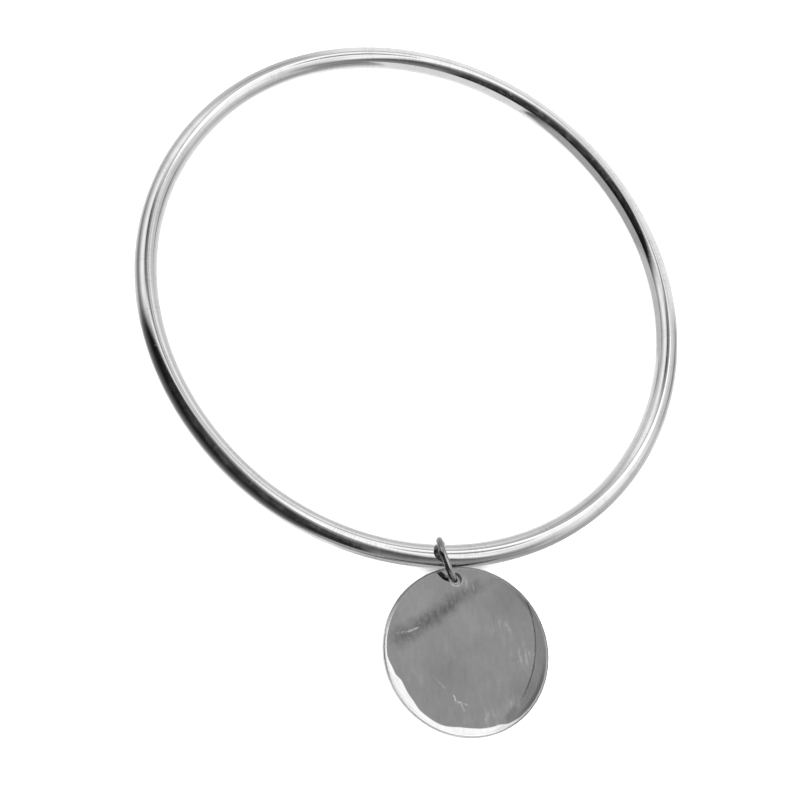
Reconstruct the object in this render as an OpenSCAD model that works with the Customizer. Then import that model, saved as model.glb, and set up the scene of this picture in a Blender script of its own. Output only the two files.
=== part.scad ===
// Charm bangle, lying flat: a rigid ring of round polished wire, with a flat round disc
// hanging from it on a small jump ring.
// The bangle lies round the origin, on the plane z = 0. Its longer way is along Y, and the
// charm is at its -Y end.

/* [Bangle] */
// Inside length of the bangle, along Y
inner_len = 67; // [58:0.5:76]
// Inside width of the bangle, along X
inner_w = 63; // [58:0.5:76]
// Diameter of the bangle's wire
wire_d = 2.7; // [2:0.1:4]

/* [Jump ring] */
// Diameter of the jump ring's wire
jump_wire_d = 0.8; // [0.6:0.1:1]
// Room left inside the jump ring, past the bangle's wire and the edge of the disc
jump_play = 0.3; // [0.25:0.05:0.8]

/* [Disc charm] */
// Diameter of the disc
disc_d = 19.4; // [12:0.2:28]
// Thickness of the disc
disc_t = 1; // [0.8:0.1:1.4]
// Rounding of the disc's two rims
rim_round = 0.3; // [0.1:0.05:0.4]
// Metal left between the hole and the rim of the disc
web_w = 0.7; // [0.5:0.05:1.2]
// Room all round the jump ring's wire in the hole of the disc
hole_play = 0.35; // [0.3:0.05:0.5]

/* [How it lies] */
// Turn of the jump ring about the vertical
jump_turn = 14; // [10:1:18]
// Lean of the jump ring to one side
jump_lean = 25; // [20:1:28]
// Angle by which the jump ring's centre lies higher than straight out from the bangle's wire
jump_hang = 24; // [18:1:30]
// Angle down round the jump ring, from straight out, at which it goes through the disc's hole
hole_drop = 5.5; // [3:0.5:8]
// Turn of the disc about its hole
disc_turn = 5; // [0:1:10]
// Least gap between two pieces that touch
clearance = 0.05; // [0.03:0.01:0.06]

/* [Hidden] */
$fn = 96;

// Centre line of the bangle: an oval of four arcs that meet at 45 degrees
long_half = (inner_len + wire_d) / 2;
wide_half = (inner_w + wire_d) / 2;
arc_step = (long_half - wide_half) / (sqrt(2) - 1);
end_r = long_half - arc_step * sqrt(1 / 2);
side_r = end_r + arc_step;

// Jump ring: it holds the bangle's wire and the edge of the disc, side by side
jump_inner_d = wire_d + web_w + hole_play + jump_play;
jump_r = (jump_inner_d + jump_wire_d) / 2;
jump_reach = (jump_inner_d - wire_d) / 2 - clearance;
// It stands on the surface, leaning
jump_z = jump_r * cos(jump_lean) + jump_wire_d / 2;

// The jump ring passes under the bangle's wire, so it holds that end of the bangle up
wire_z = jump_z - jump_reach * sin(jump_hang);
rest_tilt = asin((wire_z - wire_d / 2) / (2 * long_half));
bangle_z = wire_d / 2 + long_half * sin(rest_tilt);
jump_centre = [0, -long_half * cos(rest_tilt) - jump_reach * cos(jump_hang), jump_z];

// Disc: its hole is where the jump ring passes down through it
hole_d = jump_wire_d + 2 * hole_play;
hole_inset = hole_d / 2 + web_w;
hole_centre = jump_centre
    + turned(
        jump_r * [sin(hole_drop) * sin(jump_lean), -cos(hole_drop), -sin(hole_drop) * cos(jump_lean)],
        jump_turn
    );
rim_r = min(rim_round, disc_t * 0.45);
// It slopes down from its hole until its far rim lies on the surface
rim_run = disc_d - hole_inset - rim_r;
rim_rise = disc_t / 2 - rim_r;
disc_slope = asin((hole_centre[2] - rim_r) / norm([rim_run, rim_rise])) - atan2(rim_rise, rim_run);

// A point turned about the vertical
function turned(p, angle) =
    [p[0] * cos(angle) - p[1] * sin(angle), p[0] * sin(angle) + p[1] * cos(angle), p[2]];

// A quarter of a wire ring, from the angle given
module wire_quarter(r, from)
    rotate([0, 0, from])
        rotate_extrude(angle = 90)
            translate([r, 0])
                circle(d = wire_d);

// Closed ring of wire, in the plane z = 0
module wire_oval()
    for (turn = [0, 180])
        rotate([0, 0, turn]) {
            translate([0, long_half - end_r, 0])
                wire_quarter(end_r, 45);
            translate([wide_half - side_r, 0, 0])
                wire_quarter(side_r, -45);
        }

// Half the section of the disc, with both rims rounded
module disc_section() {
    translate([0, -disc_t / 2])
        square([disc_d / 2 - rim_r, disc_t]);
    translate([0, rim_r - disc_t / 2])
        square([disc_d / 2, disc_t - 2 * rim_r]);
    for (side = [-1, 1])
        translate([disc_d / 2 - rim_r, side * (disc_t / 2 - rim_r)])
            circle(r = rim_r);
}

// Drilled disc, with the hole's centre at the origin and the rest of it toward -Y
module drilled_disc()
    difference() {
        translate([0, hole_inset - disc_d / 2, 0])
            rotate_extrude()
                disc_section();
        cylinder(d = hole_d, h = 2 * disc_t, center = true);
    }

module bangle()
    color("gainsboro")
        translate([0, 0, bangle_z])
            rotate([-rest_tilt, 0, 0])
                wire_oval();

module jump_ring()
    color("silver")
        translate(jump_centre)
            rotate([0, -jump_lean, jump_turn])
                rotate([0, 90, 0])
                    rotate_extrude()
                        translate([jump_r, 0])
                            circle(d = jump_wire_d);

module disc_charm()
    color("darkgray")
        translate(hole_centre)
            rotate([disc_slope, 0, disc_turn])
                drilled_disc();

bangle();
jump_ring();
disc_charm();
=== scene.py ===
"""Charm bangle in polished silver, lying flat: its three pieces, their finish and the studio."""

import math
from types import SimpleNamespace

import bmesh
import bpy
from bpy.props import FloatProperty, FloatVectorProperty, PointerProperty
from mathutils import Euler, Matrix, Quaternion, Vector, noise


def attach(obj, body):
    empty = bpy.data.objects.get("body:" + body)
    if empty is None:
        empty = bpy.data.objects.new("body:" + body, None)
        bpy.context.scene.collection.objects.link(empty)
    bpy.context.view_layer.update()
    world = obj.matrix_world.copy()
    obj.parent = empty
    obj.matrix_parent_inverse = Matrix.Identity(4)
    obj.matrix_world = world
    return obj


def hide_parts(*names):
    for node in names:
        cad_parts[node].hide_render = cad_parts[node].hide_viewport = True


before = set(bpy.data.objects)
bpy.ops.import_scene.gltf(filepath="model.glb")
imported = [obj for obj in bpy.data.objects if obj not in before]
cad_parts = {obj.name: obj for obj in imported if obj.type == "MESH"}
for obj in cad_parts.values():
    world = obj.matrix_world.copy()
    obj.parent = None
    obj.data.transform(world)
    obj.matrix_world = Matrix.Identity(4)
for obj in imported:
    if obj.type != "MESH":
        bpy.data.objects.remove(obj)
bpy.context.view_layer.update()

bl_info = {
    "name": "Charm Bangle",
    "version": (1, 0, 0),
    "blender": (4, 5, 0),
    "location": "3D View > Sidebar > Charm Bangle",
    "description": "Builds a silver bangle with a round disc on a jump ring, and its studio",
    "category": "Add Mesh",
}

BODY = "root"
MM = 0.001
# Points nearer than this, in metres, are merged
MERGE_DISTANCE = 0.5e-6

# Faces round each section and along each sweep
WIRE_SIDES = 64
QUARTER_STEPS = 96
JUMP_SIDES = 40
JUMP_STEPS = 160
DISC_SIDES = 320
RIM_STEPS = 8
HOLE_EDGE_STEPS = 4
# Rounding of the hole's edges, and the most that a rim is rounded for its thickness
HOLE_EDGE = 0.06 * MM
MOST_ROUND = 0.45
# Turn past an arc's end that still counts as on it, in radians
ARC_END = 1e-4

# Unevenness left by hand polishing: deepest dip and length of the waves, in metres, and what is
# taken off all over, which keeps the wires inside their faceted solids
POLISHED_OFF = 8e-6
WIRE_WAVES = ((4e-6, 0.011), (1.2e-6, 0.0035))
JUMP_WAVES = ((3e-6, 0.0016),)
DISC_WAVES = ((16e-6, 0.0075), (3e-6, 0.0028))
# UV map of the swept wires, in metres along and round them
SWEEP_MAP = "Sweep"

# Disc, top face: shares of the way from the hole's edge to the start of the rim
FACE_PARTS = (
    0.004, 0.01, 0.02, 0.035, 0.055, 0.08, 0.11, 0.14, 0.17, 0.2, 0.23, 0.26, 0.29, 0.32, 0.35,
    0.38, 0.41, 0.44, 0.47, 0.5, 0.53, 0.56, 0.59, 0.62, 0.65, 0.68, 0.71, 0.74, 0.77, 0.795,
    0.815, 0.83, 0.845, 0.86, 0.87, 0.88, 0.89, 0.9, 0.91, 0.92, 0.93, 0.94, 0.95, 0.96, 0.97,
    0.98, 0.99, 1.0,
)

# Where the disc's top face starts to fall away to the rim, going round from +X:
# angle in degrees, share of the disc's radius, slope in degrees
EDGE_FALL = (
    (0, 0.850, 1.0),
    (30, 0.955, 1.0),
    (60, 0.975, 0.5),
    (150, 0.975, 0.5),
    (174, 0.965, 5.0),
    (190, 0.915, 7.0),
    (198, 0.872, 7.0),
    (212, 0.885, 7.0),
    (224, 0.915, 7.0),
    (240, 0.922, 7.0),
    (257, 0.885, 7.0),
    (284, 0.908, 7.0),
    (293, 0.945, 6.0),
    (302, 0.955, 1.5),
    (310, 0.870, 0.6),
    (340, 0.822, 1.0),
)
# Over what distance the fall begins
FALL_BLEND = 0.2 * MM
# How round its top rim is, as a share of the CAD rim's rounding, going round from +X
RIM_SHARES = ((0, 1.0), (150, 1.0), (172, 0.6), (238, 0.6), (258, 1.0))

# Room that the polished metal mirrors, by height: sine of the elevation, brightness.
# Its light side, its dark side, and the dim strip between them
LIGHT_SIDE = (
    (-1.0, 1.0), (-0.85, 0.92), (-0.6, 0.87), (-0.3, 0.86), (-0.08, 0.56), (0.05, 0.65),
    (0.2, 0.65), (0.35, 0.7), (0.5, 0.98), (0.65, 1.1), (0.8, 0.94), (0.9, 0.75), (0.96, 1.08),
    (1.0, 1.05),
)
DARK_SIDE = (
    (-1.0, 1.0), (-0.85, 0.6), (-0.6, 0.3), (-0.35, 0.13), (-0.12, 0.09), (0.0, 0.08),
    (0.12, 0.03), (0.3, 0.014), (0.45, 0.006), (0.9, 0.012), (0.95, 0.03), (0.98, 0.12),
    (1.0, 0.4),
)
DIM_STRIP = (
    (-1.0, 0.8), (-0.35, 0.36), (-0.12, 0.34), (0.0, 0.35), (0.15, 0.3), (0.4, 0.2), (0.6, 0.11),
    (0.8, 0.06), (1.0, 0.3),
)
# Edges of the dark side: where along Y it ends, where along X, each with half its softness
DARK_END_Y = (0.37, 0.1)
DARK_END_X = (0.63, 0.13)
# How far the X edge draws in toward the zenith, and below the horizon
DARK_ARCH = 0.58
DARK_FOOT = 1.03
FOOT_DEPTH = 0.1
# Where along X the dim strip takes over from the dark side
DIM_FROM_X = (-0.22, -0.06)
# Windows and walls of the light side: azimuth, height, half length, half width and turn of the
# length from level, in degrees, and how much brighter
ROOM_PANELS = (
    (93, 58, 13, 6, -22, -1.1),
    (24, 37, 13, 10, -4, -0.42),
    (76, 43, 25, 7, -43, -0.6),
    (-38, 44, 35, 12, 58, -0.5),
    (146, -6, 19, 21, -51, -0.35),
    (141, 74, 30, 13, -6, 0.75),
    (40, 56, 12, 3, 15, 1.2),
    (16, 11, 9, 10, -53, -0.35),
    (-67, 47, 42, 12, 37, 0.55),
    (-50, -26, 34, 20, -17, -0.45),
    (-101, -24, 14, 13, -3, -0.5),
)
# A panel's edge, in shares of its half size: from where it fades, and where it ends
PANEL_SOFT = (0.4, 1.6)
# Least brightness of the light side, and the highest that a row of the tables above may have
ROOM_LEAST = 0.02
RAMP_TOP = 1.5

# Grey wall that the disc's flat face mirrors, and the window round it: half width and soft edge
# in degrees, and brightness
DISC_WALL = (6.0, 2.0, 0.335)
DISC_WINDOW = (15.0, 7.0, 1.22)

# Soft key light: where it ends and where it is whole, in degrees from the camera's direction
KEY_LIGHT = (52.0, 26.0)

# Side of the floor in metres
FLOOR_SIZE = 6.0
# Glowing sheets beside the wire, seen only in the metal, that paint reflections of lit and shaded
# surroundings: from, to and softness of the ends in degrees, radius and height of both long edges
# in millimetres, and brightness
GLOW_CARDS = (
    (186, 248, 4, (35.0, 0), (37.4, 0), 1.0),
    (246, 332, 12, (34.6, 0), (38.8, 0), 0.5),
    (-8, 108, 12, (38.0, 0.9), (38.0, 6), 1.0),
    (-14, 19, 4, (33, 0), (26, 3.2), 0.62),
    (11, 57, 8, (33, 0), (26, 3.9), 0.44),
    (56, 92, 3, (33, 0), (26, 2.8), 0.85),
)
# The glowing sheets follow the oval: their width over their length, and the steps along each
CARD_OVAL = 0.95
CARD_STEPS = 32

# Camera: the point it looks at, its sensor's width in millimetres, and how near and far it sees
CAMERA_AIM = Vector((-3.071, -14.540, 1.0)) * MM
CAMERA_SENSOR = 36
CAMERA_SIGHT = (0.001, 10)

# Fine lines are given by their turn in degrees, stretch, lines per millimetre and the level of
# the pattern that shows. Soft patches are given by their number per millimetre, their detail, the
# two levels of the pattern between which they change, and their value at both.

# Scratches on the wires, how sharp they are, and the patches that they show in
SCRATCH_SETS = ((38, 0.06, 5.0, 0.62), (-55, 0.08, 4.0, 0.66), (8, 0.05, 6.0, 0.66))
SCRATCH_DETAIL = 1.0
SCRATCH_EDGE = 0.05
SCRATCH_PATCH_SIZE = 0.8
SCRATCH_PATCH_LEVELS = (0.48, 0.62)
# How deep scratches are in metres, and how much rougher
SCRATCH_DEPTH = 1.5e-6
SCRATCH_ROUGH = 0.35
# Hairlines elsewhere
HAIR_DETAIL = 2.0
HAIR_EDGE = 0.12
# Slow changes of tone and haze all over the silver
TONE_DRIFT = (0.35, 3.0, 0.3, 0.7, 0.95, 1.0)
HAZE = (1.3, 4.0, 0.35, 0.75, 0.0, 0.035)
# Ripple all over the silver: waves per millimetre, detail, and height over a scratch's depth
RIPPLE = (2.0, 2.0, 0.5)
# Hatch that polishing left on the wires, and the patches that it shows in
HATCH = (35, 0.15, 5.0, 0.45)
HATCH_PATCHES = (0.3, 1.0, 0.45, 0.6, 0.0, 0.07)
# Nicks in the bangle, in millimetres along and round the wire: from, to, half width, strength
WIRE_NICKS = (
    ((7.7, 2.7), (7.4, 2.95), 0.12, 0.35),
    ((3.1, 2.6), (2.8, 2.9), 0.14, 0.4),
    ((2.4, 2.9), (2.25, 3.15), 0.1, 0.3),
)
# The jump ring has painted shade where it passes through the disc, and a darker tone along the
# rest: distance from the hole in millimetres, and tone
JUMP_PAINTED_SHADE = ((0.7, 0.28), (1.7, 0.62), (3.4, 0.62), (4.6, 0.38))

# On the disc, in millimetres from its centre with the hole toward +Y.
# How marks wander off their straight lines: bends per millimetre, and reach
LOOSE_WANDER = (0.9, 1.0)
TIGHT_WANDER = (2.2, 0.25)
WANDER_DETAIL = 3.0
# Smudge: from, to, half width and how dark
SMUDGE = (
    ((4.9, 7.9), (2.5, 7.2), 0.5, 0.25),
    ((2.5, 7.2), (-0.6, 5.8), 0.9, 0.6),
    ((-0.6, 5.8), (-3.0, 4.3), 1.05, 0.95),
    ((-3.0, 4.3), (-5.3, 3.3), 1.1, 0.9),
    ((-5.3, 3.3), (-7.6, 2.3), 1.25, 0.75),
)
# Its edge, in shares of the half width: from where it fades, and where it ends
SMUDGE_EDGE = (0.1, 1.3)
# Cleaner streaks in it, how clean they are, and cleaner flecks
SMUDGE_STREAKS = (20, 0.25, 3.0, 0.45)
STREAK_CLEAN = 0.3
SMUDGE_FLECKS = (2.6, 3.0, 0.56, 0.66, 0.0, 0.4)
SMUDGE_ROUGH = 0.03
# Deep scratches: from, to, half width and strength, and how uneven their strength is
DEEP_SCRATCHES = (
    ((-7.75, 2.75), (-6.5, 2.85), 0.18, 0.42),
    ((-6.5, 2.85), (-5.35, 3.15), 0.24, 0.5),
    ((-2.45, -4.8), (-2.3, -5.5), 0.18, 0.48),
    ((-2.3, -5.5), (-1.7, -5.7), 0.26, 0.5),
    ((-1.7, -5.7), (-0.85, -6.1), 0.14, 0.35),
    ((-1.8, -5.7), (-1.5, -6.6), 0.2, 0.35),
    ((-4.5, -2.3), (-3.3, -3.9), 0.1, 0.35),
)
DEEP_UNEVEN = (2.4, 2.0, 0.38, 0.6, 0.45, 1.0)
# Patches of fine hairlines: place, radius and strength
WORN_PATCHES = (
    ((4.3, 2.0), 2.6, 0.8),
    ((6.4, -1.2), 2.4, 0.75),
    ((1.5, 7.3), 1.5, 0.95),
    ((-6.6, -2.6), 1.9, 0.55),
    ((1.6, -7.8), 2.2, 0.65),
    ((-2.0, -7.8), 1.8, 0.5),
    ((4.4, -6.4), 1.5, 0.6),
    ((-1.8, 0.1), 1.7, 0.6),
    ((3.0, -4.0), 1.8, 0.4),
)
# Share of a patch's radius that is fully worn, its hairlines, and their strength
WORN_CORE = 0.2
WORN_HAIRS = ((62, 0.16, 3.2, 0.5), (-12, 0.16, 3.2, 0.54))
WORN_STRENGTH = 0.3
# Painted light and shade in soft patches on the face: place, radius and how much lighter
PAINTED_LIGHT_PATCHES = (
    ((-5.2, 6.2), 3.4, 0.12),
    ((0.6, 3.4), 3.4, 0.09),
    ((5.8, 5.2), 3.4, -0.14),
    ((-2.8, -2.4), 3.6, -0.1),
    ((5.6, -5.2), 2.8, -0.12),
    ((-6.2, 0.6), 2.6, 0.05),
)
# Painted shade along the crease at the right edge: centre, radius, half width and how dark, and the
# painted shade beyond it
CREASE_PAINTED_SHADE = ((-4.0, 2.0), 12.35, 0.15, 0.55, 0.17)
# Share of its half width that is fully dark, and over what distance the shade begins
CREASE_CORE = 0.2
CREASE_SOFT = 0.3
# Where along Y it begins and is whole, and where it fades and ends
CREASE_BEGINS = (-7.0, -4.5)
CREASE_ENDS = (4.8, 5.4)
# Dark stain at the lower edge: from, to, half width and how dark, and the fully dark share
STAIN = ((4.3, -7.2), (3.5, -8.0), 0.8, 0.5)
STAIN_CORE = 0.2
# Rim, less polished than the faces: where it starts and is whole from the disc's edge inward, its
# roughness, the heights between which its matt share changes, that share below and above them, and
# its tone of painted light and shade going round from -180 to 180 degrees from +X
RIM_START = (0.37, 0.29)
RIM_ROUGH = 0.2
RIM_WALL = (0.3, 0.38)
RIM_MATT = (0.15, 0.03)
RIM_PAINTED_LIGHT = (
    (-180, 0.9), (-160, 0.9), (-80, 1.0), (-66, 0.7), (-54, 0.45), (-14, 0.45), (4, 0.34),
    (30, 0.3), (95, 0.34), (138, 0.34), (150, 0.6), (162, 0.9), (180, 0.9),
)
# Wall of the hole, darkened with painted shade: how far it reaches past the hole's edge, soft edge,
# tone of the painted shade and matt share
HOLE_WALL = (0.03, 0.09, 0.4, 0.25)
# Shade inside the rim: where it starts and is whole from the disc's edge inward, and how dark it
# is going round
EDGE_SHADE = (1.0, 0.58)
SHADE_TONES = (
    (-180, 0.0), (-66, 0.0), (-48, 0.42), (-28, 0.42), (-14, 0.1), (4, 0.0), (18, 0.1), (30, 0.35),
    (44, 0.1), (60, 0.0), (180, 0.0),
)
# Faint hairlines all over the disc's face, and how dark they are
FACE_HAIRS = (6, 0.3, 1.9, 0.45)
FACE_HAIR_DARK = 0.035


def length(name, description, default, least, most):
    """A size in metres that the sidebar shows in the scene's own unit."""
    return FloatProperty(
        name=name,
        description=description,
        default=default,
        min=least,
        max=most,
        precision=5,
        subtype="DISTANCE",
        unit="LENGTH",
    )


def angle(name, description, degrees):
    """An angle, given in degrees and kept in radians."""
    return FloatProperty(
        name=name,
        description=description,
        default=math.radians(degrees),
        subtype="ANGLE",
        unit="ROTATION",
    )


def share(name, description, default, most=1.0):
    """A plain number from 0 to most."""
    return FloatProperty(name=name, description=description, default=default, min=0.0, max=most)


def colour(name, description, default):
    """A linear colour."""
    return FloatVectorProperty(
        name=name,
        description=description,
        default=default,
        size=3,
        min=0.0,
        max=1.0,
        subtype="COLOR",
    )


class BangleSizes(bpy.types.PropertyGroup):
    """Sizes of the bangle."""

    inner_len: length("Inside length", "Inside length along Y", 67 * MM, 0.058, 0.076)
    inner_w: length("Inside width", "Inside width along X", 63 * MM, 0.058, 0.076)
    wire_d: length("Wire", "Diameter of the bangle's wire", 2.7 * MM, 0.002, 0.004)


class JumpRingSizes(bpy.types.PropertyGroup):
    """Sizes of the jump ring."""

    wire_d: length("Wire", "Diameter of the jump ring's wire", 0.8 * MM, 0.0006, 0.001)
    play: length("Play", "Room left past the wire and the disc's edge", 0.3 * MM, 0.00025, 0.0008)


class DiscSizes(bpy.types.PropertyGroup):
    """Sizes of the disc."""

    diameter: length("Diameter", "Diameter of the disc", 19.4 * MM, 0.012, 0.028)
    thickness: length("Thickness", "Thickness of the disc", 1 * MM, 0.0008, 0.0014)
    rim_round: length("Rim rounding", "Radius of both rims", 0.3 * MM, 0.0001, 0.0004)
    web_w: length("Web", "Metal between the hole and the rim", 0.7 * MM, 0.0005, 0.0012)
    hole_play: length("Hole play", "Room round the jump ring's wire", 0.35 * MM, 0.0003, 0.0005)


class LyingPose(bpy.types.PropertyGroup):
    """How the pieces lie on each other."""

    jump_turn: angle("Jump ring turn", "Turn about the vertical", 14)
    jump_lean: angle("Jump ring lean", "Lean to one side", 25)
    jump_hang: angle("Jump ring hang", "Its centre's rise from straight out of the wire", 24)
    hole_drop: angle("Hole drop", "Where it goes through the hole, from straight out", 5.5)
    disc_turn: angle("Disc turn", "Turn of the disc about its hole", 5)
    clearance: length("Clearance", "Least gap between touching pieces", 0.05 * MM, 0.00003, 0.00006)


class SilverFinish(bpy.types.PropertyGroup):
    """Polish and wear of the silver."""

    silver: colour("Silver", "Colour of the polished silver", (0.8, 0.8, 0.8))
    polish: share("Polish roughness", "Roughness where the polish is clean", 0.045)
    wear: share("Wear", "How strongly the fine scratches show", 0.3)
    tarnish: share("Tarnish", "How dark the smudge on the disc is", 0.55)


class StudioSettings(bpy.types.PropertyGroup):
    """Floor, light and camera."""

    floor: colour("Floor", "Colour of the floor", (0.9, 0.9, 0.9))
    light: share("Light", "Strength of the even white light", 0.5, 10.0)
    key: share("Key light", "Strength of the soft light above the camera", 6.0, 20.0)
    room: share("Room", "Strength of the room that the metal mirrors", 1.0, 10.0)
    distance: length("Distance", "Camera to the point it looks at", 214.623 * MM, 0.05, 5.0)
    azimuth: angle("Azimuth", "Direction of the camera from the point, from +X", -122.367)
    elevation: angle("Elevation", "Height of the camera above the horizon", 60.255)
    roll: angle("Roll", "Turn of the camera about its view", 30.094)
    lens: FloatProperty(name="Lens", description="Focal length for a 36 mm sensor", default=81.204)


class CharmBangleSettings(bpy.types.PropertyGroup):
    """All the values that the operators read."""

    bangle: PointerProperty(type=BangleSizes)
    jump_ring: PointerProperty(type=JumpRingSizes)
    disc: PointerProperty(type=DiscSizes)
    lying: PointerProperty(type=LyingPose)
    finish: PointerProperty(type=SilverFinish)
    studio: PointerProperty(type=StudioSettings)


def fit_pieces(settings):
    """Radii and places of the three pieces, worked out from the sizes as the CAD source does."""
    bangle, jump, disc, lying = settings.bangle, settings.jump_ring, settings.disc, settings.lying
    fit = SimpleNamespace()

    fit.wire_r = bangle.wire_d / 2
    fit.long_half = (bangle.inner_len + bangle.wire_d) / 2
    fit.wide_half = (bangle.inner_w + bangle.wire_d) / 2
    arc_step = (fit.long_half - fit.wide_half) / (math.sqrt(2) - 1)
    fit.end_r = fit.long_half - arc_step * math.sqrt(0.5)
    fit.side_r = fit.end_r + arc_step

    fit.jump_wire_r = jump.wire_d / 2
    inner_d = bangle.wire_d + disc.web_w + disc.hole_play + jump.play
    fit.jump_r = (inner_d + jump.wire_d) / 2
    reach = (inner_d - bangle.wire_d) / 2 - lying.clearance
    jump_z = fit.jump_r * math.cos(lying.jump_lean) + fit.jump_wire_r

    wire_z = jump_z - reach * math.sin(lying.jump_hang)
    tilt = math.asin((wire_z - fit.wire_r) / (2 * fit.long_half))
    bangle_z = fit.wire_r + fit.long_half * math.sin(tilt)
    jump_y = -fit.long_half * math.cos(tilt) - reach * math.cos(lying.jump_hang)
    jump_centre = Vector((0, jump_y, jump_z))

    fit.hole_r = fit.jump_wire_r + disc.hole_play
    fit.hole_inset = fit.hole_r + disc.web_w
    drop, lean = lying.hole_drop, lying.jump_lean
    through = fit.jump_r * Vector(
        (math.sin(drop) * math.sin(lean), -math.cos(drop), -math.sin(drop) * math.cos(lean))
    )
    hole_centre = jump_centre + Matrix.Rotation(lying.jump_turn, 3, "Z") @ through

    fit.disc_r = disc.diameter / 2
    fit.disc_half = disc.thickness / 2
    fit.rim_r = min(disc.rim_round, disc.thickness * MOST_ROUND)
    run = disc.diameter - fit.hole_inset - fit.rim_r
    rise = fit.disc_half - fit.rim_r
    slope = math.asin((hole_centre.z - fit.rim_r) / math.hypot(run, rise)) - math.atan2(rise, run)

    fit.bangle_place = Matrix.Translation((0, 0, bangle_z)) @ Matrix.Rotation(-tilt, 4, "X")
    fit.jump_place = (
        Matrix.Translation(jump_centre)
        @ Matrix.Rotation(lying.jump_turn, 4, "Z")
        @ Matrix.Rotation(-lean, 4, "Y")
    )
    fit.disc_place = (
        Matrix.Translation(hole_centre)
        @ Matrix.Rotation(lying.disc_turn, 4, "Z")
        @ Matrix.Rotation(slope, 4, "X")
        @ Matrix.Translation((0, fit.hole_inset - fit.disc_r, 0))
    )
    return fit


def between(low, high, value):
    """Smooth step from 0 at low to 1 at high."""
    part = min(max((value - low) / (high - low), 0.0), 1.0)
    return part * part * (3 - 2 * part)


def round_value(table, degrees):
    """Values at an angle of a table that goes round; each of its rows starts with its angle."""
    degrees = degrees % 360
    rows = [*table, (table[0][0] + 360, *table[0][1:])]
    if degrees < rows[0][0]:
        degrees += 360
    for before, after in zip(rows, rows[1:]):
        if degrees <= after[0]:
            part = between(before[0], after[0], degrees)
            return [a + (b - a) * part for a, b in zip(before[1:], after[1:])]
    return list(rows[-1][1:])


def settle_waves(bm, waves):
    """Moves every vertex a little inward, in slow waves, as hand polishing leaves the metal."""
    bm.normal_update()
    moves = []
    for vert in bm.verts:
        dip = POLISHED_OFF
        for depth, wave in waves:
            dip += depth * (0.5 + 0.5 * noise.noise(vert.co / wave))
        moves.append(vert.normal * -dip)
    for vert, move in zip(bm.verts, moves):
        vert.co += move


def add_object(bm, name, material):
    """Makes an object with a material from a bmesh, and puts it into the scene."""
    mesh = bpy.data.meshes.new(name)
    bm.to_mesh(mesh)
    bm.free()
    mesh.materials.append(material)
    made = bpy.data.objects.new(name, mesh)
    bpy.context.scene.collection.objects.link(made)
    return made


def finish_piece(bm, name, node, material):
    """Makes the object from its bmesh, shades it smooth and puts it in the CAD node's place."""
    for face in bm.faces:
        face.smooth = True
    piece = add_object(bm, name, material)
    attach(piece, BODY)
    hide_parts(node)


def close_seams(bm):
    """Merges the ends of a sweep and turns every face outward."""
    bmesh.ops.remove_doubles(bm, verts=bm.verts, dist=MERGE_DISTANCE)
    bmesh.ops.recalc_face_normals(bm, faces=bm.faces)


def sweep(bm, edges, centre, axis, turn, steps, closed=False):
    """Spins a profile's edges about an axis and returns the edges where it ends."""
    made = bmesh.ops.spin(
        bm,
        geom=edges,
        cent=centre,
        axis=axis,
        angle=turn,
        steps=steps,
        use_merge=closed,
        use_normal_flip=False,
        use_duplicate=False,
    )
    return [item for item in made["geom_last"] if isinstance(item, bmesh.types.BMEdge)]


def map_sweep(bm, place, whole):
    """Gives a swept wire a UV map in metres: along the wire, and round its section."""
    layer = bm.loops.layers.uv.new(SWEEP_MAP)
    for face in bm.faces:
        first = place(face.loops[0].vert.co)
        for loop in face.loops:
            spot = place(loop.vert.co)
            loop[layer].uv = [
                value - size * round((value - start) / size)
                for value, start, size in zip(spot, first, whole)
            ]


def bangle_arcs(fit):
    """Centre and radius of the four quarter arcs, from the one at +Y on round."""
    end_y = fit.long_half - fit.end_r
    side_x = fit.side_r - fit.wide_half
    return (
        (Vector((0, end_y, 0)), fit.end_r),
        (Vector((side_x, 0, 0)), fit.side_r),
        (Vector((0, -end_y, 0)), fit.end_r),
        (Vector((-side_x, 0, 0)), fit.side_r),
    )


def build_bangle(fit):
    """Round wire swept through the four arcs of its oval."""
    bm = bmesh.new()
    arcs = bangle_arcs(fit)
    quarter = math.radians(90)
    first = math.radians(45)
    section = Matrix.Rotation(first, 4, "Z") @ Matrix.Rotation(quarter, 4, "X")
    centre, radius = arcs[0]
    start = Matrix.Translation(centre) @ section @ Matrix.Translation((radius, 0, 0))
    bmesh.ops.create_circle(
        bm, cap_ends=False, segments=WIRE_SIDES, radius=fit.wire_r, matrix=start
    )
    edges = bm.edges[:]
    for centre, radius in arcs:
        edges = sweep(bm, edges, centre, (0, 0, 1), quarter, QUARTER_STEPS)
    close_seams(bm)

    def place(co):
        along = 0.0
        for number, (centre, radius) in enumerate(arcs):
            out = co - centre
            turn = (math.atan2(out.y, out.x) - first - number * quarter) % math.tau
            if turn <= quarter + ARC_END or math.tau - turn < ARC_END:
                turn = turn if turn < math.pi else turn - math.tau
                break
            along += radius * quarter
        section_turn = math.atan2(out.z, math.hypot(out.x, out.y) - radius)
        return along + radius * turn, fit.wire_r * section_turn

    map_sweep(bm, place, (sum(arc[1] for arc in arcs) * quarter, fit.wire_r * math.tau))
    settle_waves(bm, WIRE_WAVES)
    bmesh.ops.transform(bm, matrix=fit.bangle_place, verts=bm.verts)
    return bm


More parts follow.
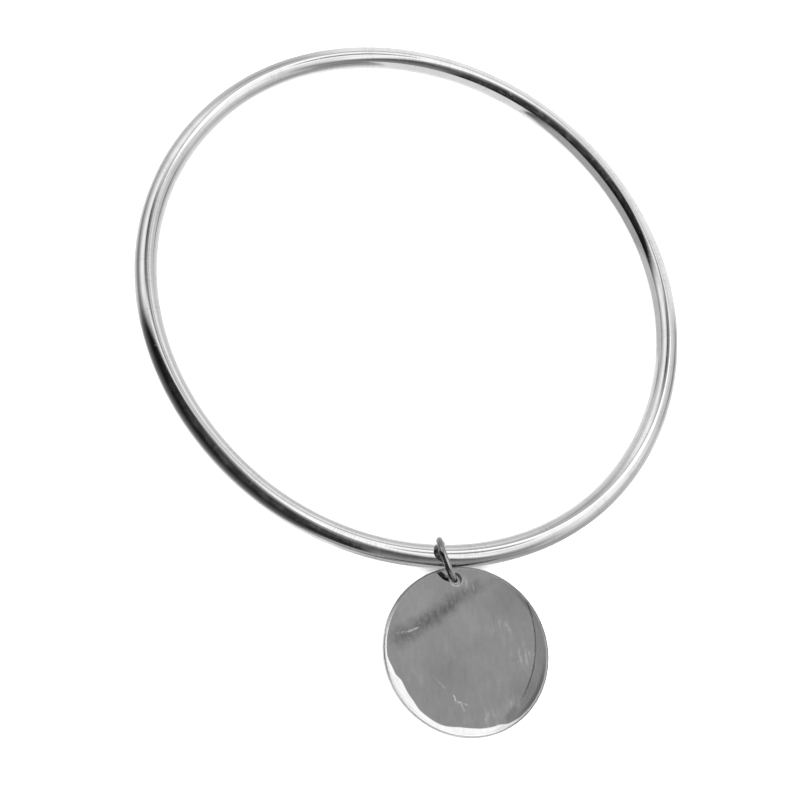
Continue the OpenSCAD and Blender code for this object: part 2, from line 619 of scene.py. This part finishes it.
def build_jump_ring(fit):
    """Thin round wire swept once round its X axis."""
    bm = bmesh.new()
    bmesh.ops.create_circle(
        bm,
        cap_ends=False,
        segments=JUMP_SIDES,
        radius=fit.jump_wire_r,
        matrix=Matrix.Translation((0, fit.jump_r, 0)),
    )
    sweep(bm, bm.edges[:], (0, 0, 0), (1, 0, 0), math.tau, JUMP_STEPS, closed=True)
    close_seams(bm)

    def place(co):
        turn = math.atan2(co.z, co.y)
        section_turn = math.atan2(co.x, math.hypot(co.y, co.z) - fit.jump_r)
        return fit.jump_r * turn, fit.jump_wire_r * section_turn

    map_sweep(bm, place, (fit.jump_r * math.tau, fit.jump_wire_r * math.tau))
    settle_waves(bm, JUMP_WAVES)
    bmesh.ops.transform(bm, matrix=fit.jump_place, verts=bm.verts)
    return bm


def disc_rings(fit):
    """Rings that the disc's skin runs through: place along Y, radius and height, from the hole's
    top edge over the face, the rim and the back to the hole's wall."""
    hole_y = fit.disc_r - fit.hole_inset
    hole_out = fit.hole_r + HOLE_EDGE
    face_out = fit.disc_r - fit.rim_r

    def face(part):
        return hole_y * (1 - part), hole_out + (face_out - hole_out) * part

    def corner(turn, size):
        return size * math.sin(turn), size * (1 - math.cos(turn))

    top = [(*face(part), fit.disc_half) for part in FACE_PARTS]
    rim = []
    for step in range(1, RIM_STEPS + 1):
        out, down = corner(math.radians(90) * step / RIM_STEPS, fit.rim_r)
        rim.append((0, face_out + out, fit.disc_half - down))
    edge = []
    for step in range(1, HOLE_EDGE_STEPS + 1):
        out, down = corner(math.radians(90) * step / HOLE_EDGE_STEPS, HOLE_EDGE)
        edge.append((hole_y, hole_out - out, fit.disc_half - down))
    half = edge[::-1] + [(hole_y, hole_out, fit.disc_half)] + top + rim
    return half + [(y, radius, -z) for y, radius, z in half[::-1]]


def edge_fall(fit, x, y):
    """How far the disc's top lies below flat, where it falls away to the rim."""
    share_in, degrees = round_value(EDGE_FALL, math.degrees(math.atan2(y, x)))
    past = math.hypot(x, y) - share_in * fit.disc_r
    if past <= 0:
        return 0.0
    slope = math.tan(math.radians(degrees))
    if past < FALL_BLEND:
        return slope * past * past / (2 * FALL_BLEND)
    return slope * (past - FALL_BLEND / 2)


def sharpen_rim(bm, fit):
    """Draws the top rim's rounding together where it is worn less."""
    for vert in bm.verts:
        x, y, z = vert.co
        radius = math.hypot(x, y)
        if min(z - fit.disc_half, radius - fit.disc_r) < -fit.rim_r - MERGE_DISTANCE:
            continue
        keep = round_value(RIM_SHARES, math.degrees(math.atan2(y, x)))[0]
        grow = (fit.disc_r - keep * (fit.disc_r - radius)) / radius
        vert.co = (x * grow, y * grow, fit.disc_half - keep * (fit.disc_half - z))


def build_disc(fit):
    """Flat disc: one skin drawn out ring by ring, then its face worn and bent a little."""
    bm = bmesh.new()
    rings = disc_rings(fit)
    y, radius, z = rings[0]
    bmesh.ops.create_circle(
        bm, cap_ends=False, segments=DISC_SIDES, radius=radius, matrix=Matrix.Translation((0, y, z))
    )
    edges = bm.edges[:]
    for next_y, next_radius, next_z in rings[1:] + rings[:1]:
        made = bmesh.ops.extrude_edge_only(bm, edges=edges)["geom"]
        verts = [item for item in made if isinstance(item, bmesh.types.BMVert)]
        edges = [item for item in made if isinstance(item, bmesh.types.BMEdge)]
        grow = next_radius / radius
        about = Matrix.Translation((0, -y, 0))
        bmesh.ops.scale(bm, vec=(grow, grow, 1), space=about, verts=verts)
        bmesh.ops.translate(bm, vec=(0, next_y - y, next_z - z), verts=verts)
        y, radius, z = next_y, next_radius, next_z
    close_seams(bm)
    sharpen_rim(bm, fit)
    for vert in bm.verts:
        x, y, z = vert.co
        part = z / fit.disc_half
        dip = 0.0
        for depth, wave in DISC_WAVES:
            dip += depth * (0.5 + 0.5 * noise.noise(Vector((x, y, math.copysign(wave, z))) / wave))
        if part > 0:
            dip += edge_fall(fit, x, y)
        vert.co.z -= part * dip
    bmesh.ops.transform(bm, matrix=fit.disc_place, verts=bm.verts)
    return bm


class Bench:
    """Puts shader nodes into one node tree and joins them."""

    def __init__(self, tree):
        self.tree = tree
        tree.nodes.clear()

    def feed(self, socket, value):
        """Links a socket to another, or sets its value."""
        if isinstance(value, bpy.types.NodeSocket):
            self.tree.links.new(value, socket)
        else:
            socket.default_value = value

    def add(self, kind, inputs=None, **settings):
        """A new node with its settings and inputs."""
        made = self.tree.nodes.new("ShaderNode" + kind)
        for name, value in settings.items():
            setattr(made, name, value)
        for key, value in (inputs or {}).items():
            self.feed(made.inputs[key], value)
        return made

    def math(self, operation, first, second=0.0, clamp=False):
        """Result of one sum on two values."""
        made = self.add("Math", {0: first, 1: second}, operation=operation, use_clamp=clamp)
        return made.outputs[0]

    def vector(self, operation, first, second=(0.0, 0.0, 0.0)):
        """Result of one sum on two vectors: one value for a length or a dot product."""
        made = self.add("VectorMath", {0: first, 1: second}, operation=operation)
        single = operation in {"DOT_PRODUCT", "LENGTH", "DISTANCE"}
        return made.outputs["Value" if single else "Vector"]

    def step(self, value, low, high, start=0.0, end=1.0):
        """Smooth step of a value, from start at low to end at high."""
        made = self.add(
            "MapRange",
            {"Value": value, "From Min": low, "From Max": high, "To Min": start, "To Max": end},
            interpolation_type="SMOOTHSTEP",
        )
        return made.outputs["Result"]

    def mix(self, factor, first, second):
        """Blend of two values."""
        made = self.add("Mix", {"Factor": factor, "A": first, "B": second}, data_type="FLOAT")
        return made.outputs["Result"]

    def ramp(self, value, stops, top=1.0):
        """Value read off a row of (place, level) stops, with levels up to top."""
        made = self.add("ValToRGB", {"Fac": value})
        elements = made.color_ramp.elements
        while len(elements) < len(stops):
            elements.new(1.0)
        for element, (place, level) in zip(elements, stops):
            element.position = place
            element.color = (level / top, level / top, level / top, 1.0)
        return self.math("MULTIPLY", made.outputs["Color"], top)

    def noise(self, vector, scale, detail=2.0, roughness=0.5):
        """Soft random pattern."""
        inputs = {"Vector": vector, "Scale": scale, "Detail": detail, "Roughness": roughness}
        return self.add("TexNoise", inputs).outputs["Fac"]

    def patches(self, vector, scale, detail, low, high, start=0.0, end=1.0):
        """Soft patches: from start to end where the random pattern goes from low to high."""
        return self.step(self.noise(vector, scale, detail), low, high, start, end)

    def most(self, values):
        """Highest of several values that are 0 or more."""
        highest = 0.0
        for value in values:
            highest = self.math("MAXIMUM", highest, value)
        return highest

    def less(self, value, share_off):
        """A value with a share of it taken off."""
        return self.math("MULTIPLY", value, self.math("SUBTRACT", 1.0, share_off))


def new_material(name):
    """New material, and the bench for its nodes."""
    material = bpy.data.materials.new(name)
    material.use_nodes = True
    return material, Bench(material.node_tree)


def hairlines(bench, spot, turn, stretch, fineness, level, detail=HAIR_DETAIL, edge=HAIR_EDGE):
    """Fine straight lines one way: 1 on a line and 0 off it."""
    inputs = {"Vector": spot, "Rotation": (0, 0, math.radians(turn)), "Scale": (1, stretch, 1)}
    turned = bench.add("Mapping", inputs).outputs["Vector"]
    return bench.patches(turned, fineness, detail, level, level + edge)


def scratch_lines(bench, spot, turn, stretch, fineness, level):
    """Fine straight scratches one way, in patches: 1 on a scratch and 0 off it."""
    lines = hairlines(
        bench, spot, turn, stretch, fineness, level, detail=SCRATCH_DETAIL, edge=SCRATCH_EDGE
    )
    size = fineness * SCRATCH_PATCH_SIZE
    patches = bench.patches(spot, size, SCRATCH_DETAIL, *SCRATCH_PATCH_LEVELS)
    return bench.math("MULTIPLY", lines, patches)


def stroke(bench, spot, start, end, width, strength, core=0.0, fade=1.0):
    """Straight mark between two points: its strength as far out as core and none from fade on,
    both in shares of its half width."""
    start, end = Vector((*start, 0)), Vector((*end, 0))
    way = end - start
    flat = bench.vector("MULTIPLY", spot, (1, 1, 0))
    off = bench.vector("SUBTRACT", flat, start)
    part = bench.vector("DOT_PRODUCT", off, way)
    part = bench.math("DIVIDE", part, way.length_squared, clamp=True)
    along = bench.add("VectorMath", {0: way, "Scale": part}, operation="SCALE").outputs["Vector"]
    off = bench.vector("LENGTH", bench.vector("SUBTRACT", off, along))
    return bench.step(off, width * core, width * fade, strength, 0.0)


def near_place(bench, spot, place):
    """Distance from a place to a point, seen from above."""
    off = bench.vector("SUBTRACT", spot, (*place, 0))
    return bench.vector("LENGTH", bench.vector("MULTIPLY", off, (1, 1, 0)))


def wander(bench, spot, scale, reach):
    """The same place, moved about a little, so that marks lose their straight edges."""
    inputs = {"Vector": spot, "Scale": scale, "Detail": WANDER_DETAIL}
    drift = bench.add("TexNoise", inputs).outputs["Color"]
    drift = bench.vector("SUBTRACT", drift, (0.5, 0.5, 0.5))
    return bench.vector("ADD", spot, bench.vector("MULTIPLY", drift, (reach, reach, 0)))


def silver_material(name, finish, spot_of, marks_and_tones):
    """Polished silver with slow changes of tone, a faint ripple and its piece's own marks, with
    painted light and shade on the disc and jump ring.
    """
    material, bench = new_material(name)
    spot = spot_of(bench)
    tone, scratches, dull, metal = marks_and_tones(bench, spot)
    tone = bench.math("MULTIPLY", tone, bench.patches(spot, *TONE_DRIFT))
    base = bench.add("CombineColor")
    for channel, level in zip(base.inputs, finish.silver):
        bench.feed(channel, bench.math("MULTIPLY", tone, level))
    rough = bench.math("MULTIPLY", scratches, SCRATCH_ROUGH)
    rough = bench.math("ADD", rough, bench.patches(spot, *HAZE))
    rough = bench.math("ADD", bench.math("ADD", rough, dull), finish.polish, clamp=True)
    scale, detail, height = RIPPLE
    height = bench.math("MULTIPLY", bench.noise(spot, scale, detail), height)
    height = bench.math("SUBTRACT", height, scratches)
    bump = bench.add("Bump", {"Strength": 1.0, "Distance": SCRATCH_DEPTH, "Height": height})
    shader = bench.add(
        "BsdfPrincipled",
        {
            "Base Color": base.outputs["Color"],
            "Metallic": metal,
            "Roughness": rough,
            "Normal": bump.outputs["Normal"],
        },
    )
    bench.add("OutputMaterial", {"Surface": shader.outputs["BSDF"]})
    return material


def sweep_spot(bench):
    """Place on a swept wire, in millimetres along and round it."""
    spot = bench.add("UVMap", uv_map=SWEEP_MAP).outputs["UV"]
    return bench.vector("MULTIPLY", spot, (1 / MM, 1 / MM, 1 / MM))


def disc_spot(fit):
    """Place on the disc, in millimetres in its own frame, with its hole toward +Y."""
    move, turn, _ = fit.disc_place.decompose()

    def spot(bench):
        inputs = {
            "Vector": bench.add("TexCoord").outputs["Object"],
            "Location": move,
            "Rotation": turn.to_euler(),
            "Scale": (MM, MM, MM),
        }
        return bench.add("Mapping", inputs, vector_type="TEXTURE").outputs["Vector"]

    return spot


def wire_marks(finish, nicks=()):
    """Marks of a wire: fine scratches three ways, a faint hatch and a few nicks."""

    def marks_and_tones(bench, spot):
        scratches = bench.most(scratch_lines(bench, spot, *lines) for lines in SCRATCH_SETS)
        scratches = bench.math("MULTIPLY", scratches, finish.wear)
        if nicks:
            cuts = bench.most(stroke(bench, spot, *nick) for nick in nicks)
            scratches = bench.math("MAXIMUM", scratches, cuts)
        hatch = hairlines(bench, spot, *HATCH)
        hatch = bench.math("MULTIPLY", hatch, bench.patches(spot, *HATCH_PATCHES))
        return bench.math("SUBTRACT", 1.0, hatch), scratches, 0.0, 1.0

    return marks_and_tones


def jump_ring_marks_and_shade(finish, fit):
    """Marks of the jump ring: as on a wire, with painted shade where it passes through the disc."""
    through = fit.disc_place @ Vector((0, fit.disc_r - fit.hole_inset, 0))

    def marks_and_tones(bench, spot):
        tone, scratches, dull, metal = wire_marks(finish)(bench, spot)
        place = bench.add("TexCoord").outputs["Object"]
        off = bench.math("MULTIPLY", bench.vector("DISTANCE", place, through), 1 / MM)
        # Painted shade: darkest where the ring passes through the disc's hole
        reach = JUMP_PAINTED_SHADE[-1][0]
        stops = [(distance / reach, level) for distance, level in JUMP_PAINTED_SHADE]
        shade = bench.ramp(bench.math("DIVIDE", off, reach), stops)
        return bench.math("MULTIPLY", tone, shade), scratches, dull, metal

    return marks_and_tones


def smudge_mark(bench, spot, loose, tight):
    """Dull smudge across the disc, and the stain at its lower edge."""
    smudge = bench.most(stroke(bench, loose, *part, *SMUDGE_EDGE) for part in SMUDGE)
    streaks = bench.math("MULTIPLY", hairlines(bench, spot, *SMUDGE_STREAKS), STREAK_CLEAN)
    smudge = bench.less(smudge, streaks)
    smudge = bench.less(smudge, bench.patches(spot, *SMUDGE_FLECKS))
    return bench.math("MAXIMUM", smudge, stroke(bench, tight, *STAIN, STAIN_CORE))


def crease_painted_shade(bench, spot, tight):
    """Painted shade along the crease at the disc's right edge, and painted shade beyond it."""
    centre, radius, width, dark, shade = CREASE_PAINTED_SHADE
    out = bench.math("SUBTRACT", near_place(bench, tight, centre), radius)
    line = bench.step(bench.math("ABSOLUTE", out), width * CREASE_CORE, width, dark, 0.0)
    place = bench.add("SeparateXYZ", {"Vector": spot}).outputs["Y"]
    line = bench.math("MULTIPLY", line, bench.step(place, *CREASE_BEGINS))
    line = bench.math("MULTIPLY", line, bench.step(place, *CREASE_ENDS, 1.0, 0.0))
    return bench.math("ADD", line, bench.step(out, 0.0, CREASE_SOFT, 0.0, shade))


def disc_scratches(bench, loose, tight):
    """Hairlines in worn patches, and a few deeper scratches of uneven strength."""
    worn = bench.most(
        bench.step(near_place(bench, loose, place), radius * WORN_CORE, radius, strength, 0.0)
        for place, radius, strength in WORN_PATCHES
    )
    hairs = bench.most(hairlines(bench, tight, *lines) for lines in WORN_HAIRS)
    hairs = bench.math("MULTIPLY", bench.math("MULTIPLY", hairs, worn), WORN_STRENGTH)
    deep = bench.most(stroke(bench, tight, *scratch) for scratch in DEEP_SCRATCHES)
    deep = bench.math("MULTIPLY", deep, bench.patches(tight, *DEEP_UNEVEN))
    return bench.math("MAXIMUM", hairs, deep)


def disc_marks_and_painted_light(finish, fit):
    """Marks of the disc, with painted light and shade on its face, crease, rim and the wall of its
    hole.
    """

    def marks_and_tones(bench, spot):
        loose = wander(bench, spot, *LOOSE_WANDER)
        tight = wander(bench, spot, *TIGHT_WANDER)
        smudge = smudge_mark(bench, spot, loose, tight)
        dark = bench.math("MULTIPLY", smudge, finish.tarnish)
        # The crease's painted shade joins the smudge's tarnish here
        dark = bench.math("MAXIMUM", dark, crease_painted_shade(bench, spot, tight))
        tone = bench.math("SUBTRACT", 1.0, dark)
        # Painted light and shade: soft lighter and darker patches on the face
        for place, radius, lighter in PAINTED_LIGHT_PATCHES:
            off = near_place(bench, loose, place)
            tone = bench.math("MULTIPLY", tone, bench.step(off, 0.0, radius, 1.0 + lighter, 1.0))
        hairs = bench.math("MULTIPLY", hairlines(bench, loose, *FACE_HAIRS), FACE_HAIR_DARK)
        tone = bench.less(tone, hairs)

        x, y, z = bench.add("SeparateXYZ", {"Vector": spot}).outputs
        turn = bench.math("ARCTAN2", y, x)
        turn = bench.math("ADD", bench.math("DIVIDE", turn, math.tau), 0.5)

        def by_turn(rows):
            return bench.ramp(turn, [(degrees / 360 + 0.5, level) for degrees, level in rows])

        outer = fit.disc_r / MM
        radius = near_place(bench, spot, (0, 0))
        shade = bench.step(radius, *(outer - inward for inward in EDGE_SHADE))
        tone = bench.less(tone, bench.math("MULTIPLY", shade, by_turn(SHADE_TONES)))
        rim = bench.step(radius, *(outer - inward for inward in RIM_START))
        # The rim's tone is painted light and shade, going round
        tone = bench.mix(rim, tone, by_turn(RIM_PAINTED_LIGHT))

        # Painted shade darkens the wall of the hole, which is also more matt
        reach, soft, level, matt_wall = HOLE_WALL
        hole = near_place(bench, spot, (0, outer - fit.hole_inset / MM))
        edge = fit.hole_r / MM + reach
        tone = bench.math("MULTIPLY", tone, bench.step(hole, edge, edge + soft, level, 1.0))
        matt_wall = bench.step(hole, edge, edge + soft, matt_wall, 0.0)

        dull = bench.math("MULTIPLY", smudge, SMUDGE_ROUGH)
        dull = bench.math("ADD", dull, bench.math("MULTIPLY", rim, RIM_ROUGH))
        scratches = bench.less(disc_scratches(bench, loose, tight), rim)
        matt = bench.math("MULTIPLY", rim, bench.step(z, *RIM_WALL, *RIM_MATT))
        matt = bench.math("MAXIMUM", matt, matt_wall)
        return tone, scratches, dull, bench.math("SUBTRACT", 1.0, matt)

    return marks_and_tones


def room_panel(bench, way, azimuth, elevation, half_length, half_width, turn):
    """How much of a direction lies on a long soft panel of the room."""
    facing = Euler((0, -math.radians(elevation), math.radians(azimuth))).to_matrix()
    facing = facing @ Matrix.Rotation(math.radians(turn), 3, "X")
    seen = bench.math("GREATER_THAN", bench.vector("DOT_PRODUCT", way, facing.col[0]), 0.0)
    for axis, half in ((facing.col[1], half_length), (facing.col[2], half_width)):
        off = bench.math("ABSOLUTE", bench.vector("DOT_PRODUCT", way, axis))
        inner, outer = (math.sin(math.radians(half)) * soft for soft in PANEL_SOFT)
        seen = bench.math("MULTIPLY", seen, bench.step(off, inner, outer, 1.0, 0.0))
    return seen


def mirrored_room(bench, glance):
    """Light of the room by direction: a pale side with windows, a dark side and the disc's wall."""
    way = bench.add("TexCoord").outputs["Generated"]
    x, y, z = bench.add("SeparateXYZ", {"Vector": way}).outputs
    height = bench.math("ADD", bench.math("MULTIPLY", z, 0.5), 0.5)

    def by_height(rows):
        return bench.ramp(height, [((place + 1) / 2, level) for place, level in rows], RAMP_TOP)

    room = by_height(LIGHT_SIDE)
    for *panel, level in ROOM_PANELS:
        seen = room_panel(bench, way, *panel)
        room = bench.math("ADD", room, bench.math("MULTIPLY", seen, level))
    room = bench.math("MAXIMUM", room, ROOM_LEAST)

    end, soft = DARK_END_Y
    dark = bench.step(y, end - soft, end + soft, 1.0, 0.0)
    up = bench.math("MAXIMUM", z, 0.0)
    arch = bench.math("MULTIPLY", bench.math("MULTIPLY", up, up), DARK_ARCH)
    foot = bench.step(z, -FOOT_DEPTH, 0.0, DARK_FOOT, 0.0)
    end, soft = DARK_END_X
    across = bench.math("ADD", bench.math("ADD", x, arch), foot)
    dark = bench.math("MULTIPLY", dark, bench.step(across, end - soft, end + soft, 1.0, 0.0))
    shade = bench.mix(bench.step(x, *DIM_FROM_X), by_height(DARK_SIDE), by_height(DIM_STRIP))
    room = bench.mix(dark, room, shade)

    near = bench.vector("DOT_PRODUCT", way, glance)
    for half, soft, level in (DISC_WINDOW, DISC_WALL):
        edges = [math.cos(math.radians(value)) for value in (half + soft, half)]
        room = bench.mix(bench.step(near, *edges), room, level)
    return room


def make_world(studio, glance, above):
    """Soft white light on everything, and the room in what the polished metal mirrors."""
    world = bpy.data.worlds.new("Studio light")
    world.use_nodes = True
    bench = Bench(world.node_tree)
    rays = bench.add("LightPath")
    room = mirrored_room(bench, glance)
    room = bench.math("MULTIPLY", room, studio.room)
    way = bench.add("TexCoord").outputs["Generated"]
    low, high = (math.cos(math.radians(value)) for value in KEY_LIGHT)
    key = bench.step(bench.vector("DOT_PRODUCT", way, above), low, high, 0.0, studio.key)
    soft = bench.math("ADD", key, studio.light)
    strength = bench.mix(rays.outputs["Is Glossy Ray"], soft, room)
    light = bench.add("Background", {"Color": (1, 1, 1, 1), "Strength": strength})
    bench.add("OutputWorld", {"Surface": light.outputs["Background"]})
    bpy.context.scene.world = world


def add_floor(studio):
    """Lays the floor of pale matt paper; the metal mirrors the room's pale lower half instead."""
    material, bench = new_material("pale_paper")
    flat_sheet = bench.add("BsdfDiffuse", {"Color": (*studio.floor, 1)})
    bench.add("OutputMaterial", {"Surface": flat_sheet.outputs["BSDF"]})
    bm = bmesh.new()
    bmesh.ops.create_grid(bm, x_segments=1, y_segments=1, size=FLOOR_SIZE / 2)
    floor = add_object(bm, "floor", material)
    floor.visible_glossy = False


def glow_card_material(name, middle, half, soft, level):
    """Glowing sheet that paints a reflection at its own brightness, and fades out toward its two
    ends.
    """
    material, bench = new_material(name)
    place = bench.add("TexCoord").outputs["Object"]
    inputs = {"Vector": place, "Rotation": (0, 0, -math.radians(middle))}
    turned = bench.add("Mapping", inputs).outputs["Vector"]
    x, y, _ = bench.add("SeparateXYZ", {"Vector": turned}).outputs
    off = bench.math("ABSOLUTE", bench.math("ARCTAN2", y, x))
    shown = bench.step(off, math.radians(half - soft), math.radians(half), 1.0, 0.0)
    clear = bench.add("BsdfTransparent").outputs["BSDF"]
    glow = bench.add("Emission", {"Strength": level}).outputs["Emission"]
    mixed = bench.add("MixShader", {0: shown, 1: clear, 2: glow})
    bench.add("OutputMaterial", {"Surface": mixed.outputs["Shader"]})
    return material


def add_glow_cards():
    """Sets the glowing sheets that paint lit and shaded reflections; only the metal mirrors them.
    """
    for number, (start, end, soft, *long_edges, level) in enumerate(GLOW_CARDS, 1):
        name = f"painted_reflection_{number}"
        bm = bmesh.new()
        verts = [bm.verts.new((radius * MM, 0, height * MM)) for radius, height in long_edges]
        edge = bm.edges.new(verts)
        turn = Matrix.Rotation(math.radians(start), 3, "Z")
        bmesh.ops.rotate(bm, cent=(0, 0, 0), matrix=turn, verts=bm.verts)
        sweep(bm, [edge], (0, 0, 0), (0, 0, 1), math.radians(end - start), CARD_STEPS)
        bmesh.ops.scale(bm, vec=(CARD_OVAL, 1, 1), verts=bm.verts)
        material = glow_card_material(name, (start + end) / 2, (end - start) / 2, soft, level)
        flat_sheet = add_object(bm, name, material)
        flat_sheet.visible_camera = False
        flat_sheet.visible_diffuse = False
        flat_sheet.visible_shadow = False


def disc_glance(fit, camera):
    """Direction in which the camera sees the room in the disc's flat face."""
    sight = fit.disc_place.translation - camera.location
    return sight.normalized().reflect(fit.disc_place.to_3x3() @ Vector((0, 0, 1)))


def add_camera(studio):
    """Camera at the photograph's angle."""
    data = bpy.data.cameras.new("Camera")
    data.sensor_width = CAMERA_SENSOR
    data.lens = studio.lens
    data.clip_start, data.clip_end = CAMERA_SIGHT
    camera = bpy.data.objects.new("Camera", data)
    bpy.context.scene.collection.objects.link(camera)
    back = Vector((math.cos(studio.elevation), 0, math.sin(studio.elevation)))
    back.rotate(Euler((0, 0, studio.azimuth)))
    camera.location = CAMERA_AIM + studio.distance * back
    camera.rotation_mode = "QUATERNION"
    level = (-back).to_track_quat("-Z", "Y")
    camera.rotation_quaternion = level @ Quaternion((0, 0, 1), studio.roll)
    bpy.context.scene.camera = camera
    return camera


class BangleOperator(bpy.types.Operator):
    """Builds the bangle"""

    bl_idname = "charm_bangle.bangle"
    bl_label = "Bangle"

    def execute(self, context):
        settings = context.scene.charm_bangle
        fit = fit_pieces(settings)
        marks_and_tones = wire_marks(settings.finish, WIRE_NICKS)
        silver = silver_material("bangle_silver", settings.finish, sweep_spot, marks_and_tones)
        bm = build_bangle(fit)
        finish_piece(bm, "bangle_wire", "bangle", silver)
        return {"FINISHED"}


class JumpRingOperator(bpy.types.Operator):
    """Builds the jump ring"""

    bl_idname = "charm_bangle.jump_ring"
    bl_label = "Jump ring"

    def execute(self, context):
        settings = context.scene.charm_bangle
        fit = fit_pieces(settings)
        marks_and_tones = jump_ring_marks_and_shade(settings.finish, fit)
        silver = silver_material("jump_ring_silver", settings.finish, sweep_spot, marks_and_tones)
        bm = build_jump_ring(fit)
        finish_piece(bm, "jump_ring_wire", "jump_ring", silver)
        return {"FINISHED"}


class DiscOperator(bpy.types.Operator):
    """Builds the disc"""

    bl_idname = "charm_bangle.disc"
    bl_label = "Disc"

    def execute(self, context):
        settings = context.scene.charm_bangle
        fit = fit_pieces(settings)
        marks_and_tones = disc_marks_and_painted_light(settings.finish, fit)
        silver = silver_material("disc_silver", settings.finish, disc_spot(fit), marks_and_tones)
        bm = build_disc(fit)
        finish_piece(bm, "disc_sheet", "disc_charm", silver)
        return {"FINISHED"}


class StageOperator(bpy.types.Operator):
    """Sets the floor, the light and the camera"""

    bl_idname = "charm_bangle.stage"
    bl_label = "Stage"

    def execute(self, context):
        settings = context.scene.charm_bangle
        context.scene.view_settings.view_transform = "Standard"
        add_floor(settings.studio)
        camera = add_camera(settings.studio)
        add_glow_cards()
        above = (camera.location - CAMERA_AIM).normalized()
        make_world(settings.studio, disc_glance(fit_pieces(settings), camera), above)
        return {"FINISHED"}


class CharmBanglePanel(bpy.types.Panel):
    """Lists the sizes, the finish and the operators"""

    bl_idname = "VIEW3D_PT_charm_bangle"
    bl_label = "Charm Bangle"
    bl_space_type = "VIEW_3D"
    bl_region_type = "UI"
    bl_category = "Charm Bangle"

    def draw(self, context):
        settings = context.scene.charm_bangle
        for group in GROUPS:
            box = self.layout.box()
            box.label(text=group.replace("_", " ").capitalize())
            values = getattr(settings, group)
            for name in values.bl_rna.properties.keys():
                if name not in {"name", "rna_type"}:
                    box.prop(values, name)
        for operator in OPERATORS:
            self.layout.operator(operator.bl_idname)


GROUPS = ("bangle", "jump_ring", "disc", "lying", "finish", "studio")
OPERATORS = (StageOperator, BangleOperator, JumpRingOperator, DiscOperator)
CLASSES = (
    BangleSizes,
    JumpRingSizes,
    DiscSizes,
    LyingPose,
    SilverFinish,
    StudioSettings,
    CharmBangleSettings,
    *OPERATORS,
    CharmBanglePanel,
)


def register():
    """Registers the classes and puts the settings on the scene."""
    for cls in CLASSES:
        bpy.utils.register_class(cls)
    bpy.types.Scene.charm_bangle = PointerProperty(type=CharmBangleSettings)


def unregister():
    """Takes the settings and the classes away again."""
    del bpy.types.Scene.charm_bangle
    for cls in reversed(CLASSES):
        bpy.utils.unregister_class(cls)


def main():
    """Registers the add-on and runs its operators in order."""
    register()
    bpy.ops.charm_bangle.stage()
    bpy.ops.charm_bangle.bangle()
    bpy.ops.charm_bangle.jump_ring()
    bpy.ops.charm_bangle.disc()


if __name__ == "__main__":
    main()
